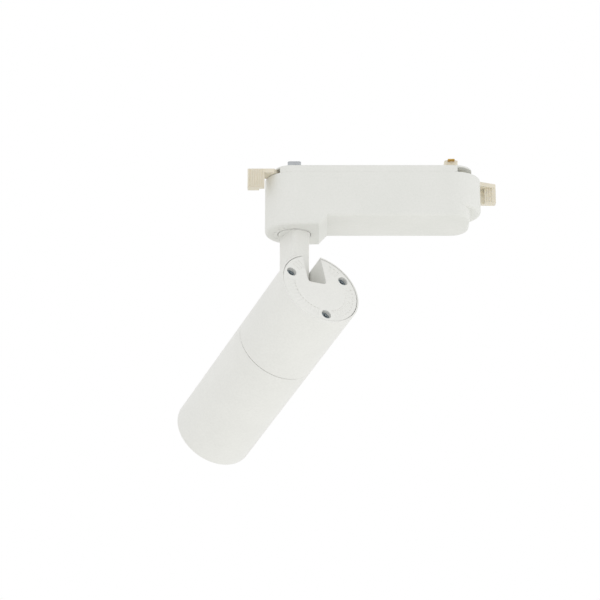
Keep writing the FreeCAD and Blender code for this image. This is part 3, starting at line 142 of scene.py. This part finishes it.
# Moulded white polycarbonate with a spark-eroded texture, finer and duller than the paint.
POLYCARBONATE = finish(
    "moulded_polycarbonate", ("#e6e7e2", "#ecece8"), (0.46, 0.58),
    [(0.30, 0.006, EVEN), (9.0, 0.020, EVEN)], tone_mm=26.0, IOR=1.58,
)
# The levers are moulded PBT left in its own ivory colour, slightly translucent at the edges.
IVORY_PBT = finish(
    "moulded_ivory_pbt", ("#e2dac6", "#ece5d4"), (0.38, 0.50),
    [(0.35, 0.006, EVEN), (4.0, 0.012, EVEN)], tone_mm=6.0, IOR=1.55,
    **{"Subsurface Weight": 0.08, "Subsurface Radius": (0.0015, 0.0012, 0.0008)},
)
# Zinc-plated steel: a bright, slightly blue metal with the streaks of its stamping.
ZINC_STEEL = finish(
    "zinc_plated_steel", ("#a9adb1", "#c3c6c8"), (0.24, 0.40),
    [(0.25, 0.003, (1, 6, 1)), (0.8, 0.002, EVEN)], tone_mm=5.0, Metallic=1.0,
)
# The cap's screws are dark nickel, a soft blue-grey.
DARK_NICKEL = finish(
    "dark_nickel_plated_steel", ("#8a949c", "#a6afb5"), (0.34, 0.48),
    [(0.2, 0.003, (1, 5, 1))], tone_mm=3.0, Metallic=1.0,
)
# Bare extruded aluminium, with the long fine lines of the die.
BARE_ALUMINIUM = finish(
    "extruded_aluminium", ("#b9bbbd", "#cfd0d1"), (0.30, 0.44),
    [(0.22, 0.005, (8, 8, 1)), (0.9, 0.002, EVEN)], tone_mm=8.0, Metallic=1.0,
)
# The reflector and its liner are aluminium, brightened and anodised, with faint turning rings.
SPUN_ALUMINIUM = finish(
    "spun_anodised_aluminium", ("#d6d7d8", "#e8e8e8"), (0.10, 0.18),
    [(0.3, 0.002, (1, 1, 4))], tone_mm=9.0, Metallic=1.0,
)
# Brass contact strip, wiped bright where the rail's conductors rub it.
BRASS = finish(
    "rolled_brass", ("#b8913f", "#d3b063"), (0.22, 0.38),
    [(0.15, 0.003, (1, 8, 1))], tone_mm=2.5, Metallic=1.0,
)
# Enamelled copper wire wound in even turns of 0.4 mm.
COPPER_WIRE = finish(
    "enamelled_copper", ("#8a4a26", "#b06a3a"), (0.22, 0.34),
    [(0.4, 0.060, (0.1, 0.1, 1))], tone_mm=3.0, Metallic=1.0, **{"Coat Weight": 0.6},
)
# Sintered ferrite: a hard, dull, dark grey ceramic.
FERRITE = finish(
    "sintered_ferrite", ("#2c2c2f", "#3a3a3d"), (0.60, 0.78),
    [(0.25, 0.010, EVEN)], tone_mm=4.0, IOR=1.9,
)
# Epoxy-glass board under green solder mask, with the cloth's weave just raised.
CIRCUIT_BOARD = finish(
    "solder_masked_laminate", ("#1f5a38", "#28704a"), (0.28, 0.42),
    [(0.7, 0.006, EVEN)], tone_mm=7.0, IOR=1.55,
)
# Shrunk PET sleeve round the electrolytic capacitors.
PET_SLEEVE = finish(
    "shrunk_pet_sleeve", ("#1b2238", "#27304c"), (0.16, 0.28),
    [(1.6, 0.015, (1, 1, 0.4))], tone_mm=5.0, IOR=1.57,
)
# Dipped epoxy of the film capacitor and the fuse's cover.
DIPPED_EPOXY = finish(
    "dipped_epoxy", ("#b98b1f", "#cfa237"), (0.20, 0.34),
    [(1.8, 0.030, EVEN)], tone_mm=5.0, IOR=1.55,
)
# Black transfer-moulded epoxy of the transistor.
MOULDED_EPOXY = finish(
    "moulded_black_epoxy", ("#1b1b1c", "#272728"), (0.55, 0.70),
    [(0.15, 0.006, EVEN)], tone_mm=3.0, IOR=1.55,
)
# Green polyamide of the terminal block.
GREEN_POLYAMIDE = finish(
    "moulded_green_polyamide", ("#2c6a41", "#377c4e"), (0.40, 0.52),
    [(0.3, 0.006, EVEN)], tone_mm=4.0, IOR=1.53,
)
# Natural nylon of the bushes and friction washers, waxy and faintly yellow.
NYLON = finish(
    "natural_nylon", ("#dad6c6", "#e6e2d4"), (0.36, 0.48),
    [(0.4, 0.006, EVEN)], tone_mm=4.0, IOR=1.53,
    **{"Subsurface Weight": 0.15, "Subsurface Radius": (0.002, 0.002, 0.0015)},
)
# White ceramic solder mask of the light source's board.
WHITE_MASK = finish(
    "white_solder_mask", ("#e4e4e0", "#efefec"), (0.30, 0.44),
    [(0.5, 0.004, EVEN)], tone_mm=6.0, IOR=1.6,
)
# Silicone filled with yellow phosphor over the LED chips, domed between its grains.
PHOSPHOR = finish(
    "phosphor_silicone", ("#d9b637", "#efd25c"), (0.18, 0.30),
    [(0.25, 0.010, EVEN)], tone_mm=2.0, IOR=1.41,
    **{"Subsurface Weight": 0.3, "Subsurface Radius": (0.002, 0.0015, 0.0005)},
)
# Black glass-filled polyamide of the ring that holds the lens.
BLACK_POLYAMIDE = finish(
    "glass_filled_black_polyamide", ("#161617", "#222223"), (0.48, 0.62),
    [(0.3, 0.010, EVEN)], tone_mm=5.0, IOR=1.53,
)
# Moulded rubber with the bloom of its surface.
RUBBER = finish(
    "moulded_rubber", ("#141414", "#1f1f1f"), (0.62, 0.78),
    [(0.3, 0.010, EVEN)], tone_mm=3.0, IOR=1.52,
)
# Toughened clear glass over the reflector, with the faint waves that its heating leaves.
GLASS = finish(
    "toughened_clear_glass", ("#f6f9f8", "#fcfdfd"), (0.02, 0.05),
    [(7.0, 0.004, EVEN)], tone_mm=12.0, IOR=1.52, **{"Transmission Weight": 0.97},
)

FINISHES = {
    "white_polycarbonate": POLYCARBONATE, "white_powder_coat": POWDER_COAT,
    "ivory_plastic": IVORY_PBT, "zinc_steel": ZINC_STEEL, "dark_steel": DARK_NICKEL,
    "bare_aluminium": BARE_ALUMINIUM, "reflector_metal": SPUN_ALUMINIUM, "brass": BRASS,
    "copper_winding": COPPER_WIRE, "ferrite": FERRITE, "circuit_laminate": CIRCUIT_BOARD,
    "capacitor_sleeve": PET_SLEEVE, "film_case": DIPPED_EPOXY, "black_epoxy": MOULDED_EPOXY,
    "terminal_plastic": GREEN_POLYAMIDE, "nylon": NYLON, "led_substrate": WHITE_MASK,
    "led_phosphor": PHOSPHOR, "clear_glass": GLASS, "black_plastic": BLACK_POLYAMIDE,
    "black_rubber": RUBBER,
}

for entry in frame["record"]["subparts"]:
    node = frame["nodes"][entry["node"]]
    node.data.materials.clear()
    node.data.materials.append(FINISHES[entry["material_slot"]])


# ---------------------------------------------------------------- reflector facets

FACET_COLUMNS, FACET_ROWS = 24, 5
# A facet is this many faces across and up, and its middle stands this far into the light.
FACET_STEPS = 4
FACET_SWELL = 0.45 * MM
# The liner is sheet metal, clear of the reflector and the lens by its fit.
LINER_WALL = 0.25 * MM
LINER_FIT = 0.12 * MM


def centre(name):
    """The middle of a CAD node's box."""
    low, high = (Vector(corner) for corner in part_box(name))
    return (low + high) / 2


def bore_of(name, base, axis):
    """Where a hollow turned node starts and ends along its axis, and its bore at either end."""
    stations = []
    for vertex in frame["nodes"][name].data.vertices:
        height = (vertex.co - base).dot(axis)
        stations.append((height, (vertex.co - base - height * axis).length))
    ends = (min(stations)[0], max(stations)[0])
    bores = [min(r for height, r in stations if abs(height - end) < LINER_FIT) for end in ends]
    return ends, bores


def make_reflector_facets():
    """The bright pressed liner of the reflector: rings of facets, each swollen like a pillow."""
    base = centre("led_emitter")
    axis = (centre("lens") - base).normalized()
    (low, high), (throat, mouth) = bore_of("reflector", base, axis)
    low, high = low + LINER_FIT, high - LINER_FIT
    right = axis.orthogonal().normalized()
    ahead = axis.cross(right)
    columns, rows = FACET_COLUMNS * FACET_STEPS, FACET_ROWS * FACET_STEPS
    mesh = bmesh.new()

    def swell(step):
        """0 on a facet's edge and 1 along its middle."""
        across = step % FACET_STEPS / FACET_STEPS
        return 1 - (2 * across - 1) ** 2

    def ring(row, inset, swollen=0.0):
        share = row / rows
        corners = []
        for column in range(columns):
            turn = 2 * math.pi * column / columns
            radius = throat + share * (mouth - throat) - inset
            radius -= swollen * swell(column) * swell(row)
            spoke = right * math.cos(turn) + ahead * math.sin(turn)
            height = low + share * (high - low)
            corners.append(mesh.verts.new(base + axis * height + spoke * radius))
        return corners

    inner = [ring(row, LINER_FIT + LINER_WALL, FACET_SWELL) for row in range(rows + 1)]
    outer = [ring(row, LINER_FIT) for row in (0, rows)]
    rings = [outer[0], *inner, outer[1]]
    for lower, upper in zip(rings, rings[1:] + rings[:1]):
        for column in range(columns):
            after = (column + 1) % columns
            face = mesh.faces.new((lower[column], lower[after], upper[after], upper[column]))
            face.smooth = True
    # The facets meet in creases, along the rings and up the columns.
    for line in (*outer, *inner[::FACET_STEPS]):
        for column in range(columns):
            mesh.edges.get((line[column], line[(column + 1) % columns])).smooth = False
    for lower, upper in zip(inner, inner[1:]):
        for column in range(0, columns, FACET_STEPS):
            mesh.edges.get((lower[column], upper[column])).smooth = False
    bmesh.ops.recalc_face_normals(mesh, faces=mesh.faces)
    data = bpy.data.meshes.new("reflector_facets")
    mesh.to_mesh(data)
    mesh.free()
    data.materials.append(SPUN_ALUMINIUM)
    piece = bpy.data.objects.new("reflector_facets", data)
    bpy.context.collection.objects.link(piece)
    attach(piece, "lamp")


make_reflector_facets()


# ---------------------------------------------------------------- stage, lights and camera

FLOOR_Z = -0.95
FLOOR_REACH = 3
corners = [(-1, -1), (1, -1), (1, 1), (-1, 1)]
floor_mesh = bpy.data.meshes.new("floor")
floor_mesh.from_pydata(
    [(FLOOR_REACH * x, FLOOR_REACH * y, FLOOR_Z) for x, y in corners], [], [(0, 1, 2, 3)]
)
floor = bpy.data.objects.new("floor", floor_mesh)
bpy.context.collection.objects.link(floor)
floor_mesh.materials.append(finish(
    "matte_paper", ("#eeeeec", "#f3f3f1"), (0.7, 0.8), [(3.0, 0.05, EVEN)], tone_mm=300.0,
))


LIGHT_SIZE = 0.9
LIT_POINT = Vector((-0.02, 0.03, -0.08))


def area_light(name, place, power):
    """A round white light of LIGHT_SIZE metres that points at the lamp."""
    data = bpy.data.lights.new(name, "AREA")
    data.shape = "DISK"
    data.size = LIGHT_SIZE
    data.energy = power
    light = bpy.data.objects.new(name, data)
    light.location = place
    light.rotation_mode = "QUATERNION"
    light.rotation_quaternion = (LIT_POINT - Vector(place)).to_track_quat("-Z", "Y")
    bpy.context.collection.objects.link(light)
    return light


# A light tent: white on every side, a little brighter from the right and from the floor.
area_light("right", (1.4, 0.1, -0.2), power=0.9)
area_light("front", (1.1, -0.9, -0.55), power=0.6)
area_light("below", (0.1, -0.1, -0.9), power=0.9).visible_camera = False

TENT_WHITE = "#ffffff"
TENT_LIGHT, TENT_SEEN = 0.93, 1.0
world = bpy.data.worlds.new("studio")
world.use_nodes = True
tent = world.node_tree
tent.nodes.clear()
seen = add(tent, "ShaderNodeLightPath").outputs["Is Camera Ray"]
backgrounds = [
    add(tent, "ShaderNodeBackground", {"Color": linear(TENT_WHITE), "Strength": strength})
    for strength in (TENT_LIGHT, TENT_SEEN)
]
mixed = add(tent, "ShaderNodeMixShader", {
    0: seen, 1: backgrounds[0].outputs[0], 2: backgrounds[1].outputs[0],
})
add(tent, "ShaderNodeOutputWorld", {"Surface": mixed.outputs[0]})
bpy.context.scene.world = world
bpy.context.scene.view_settings.view_transform = "Standard"

# The camera stands below the rail, 1.2 m in front of the lamp, and looks up at it.
CAMERA_PLACE = (-0.0434, -1.2185, -0.50905)
LOOKS_UP = 19.46
camera_data = bpy.data.cameras.new("camera")
camera_data.sensor_width = 36
camera_data.lens = 132
camera = bpy.data.objects.new("camera", camera_data)
camera.location = CAMERA_PLACE
camera.rotation_euler = (math.radians(90 + LOOKS_UP), 0, 0)
bpy.context.collection.objects.link(camera)
bpy.context.scene.camera = camera
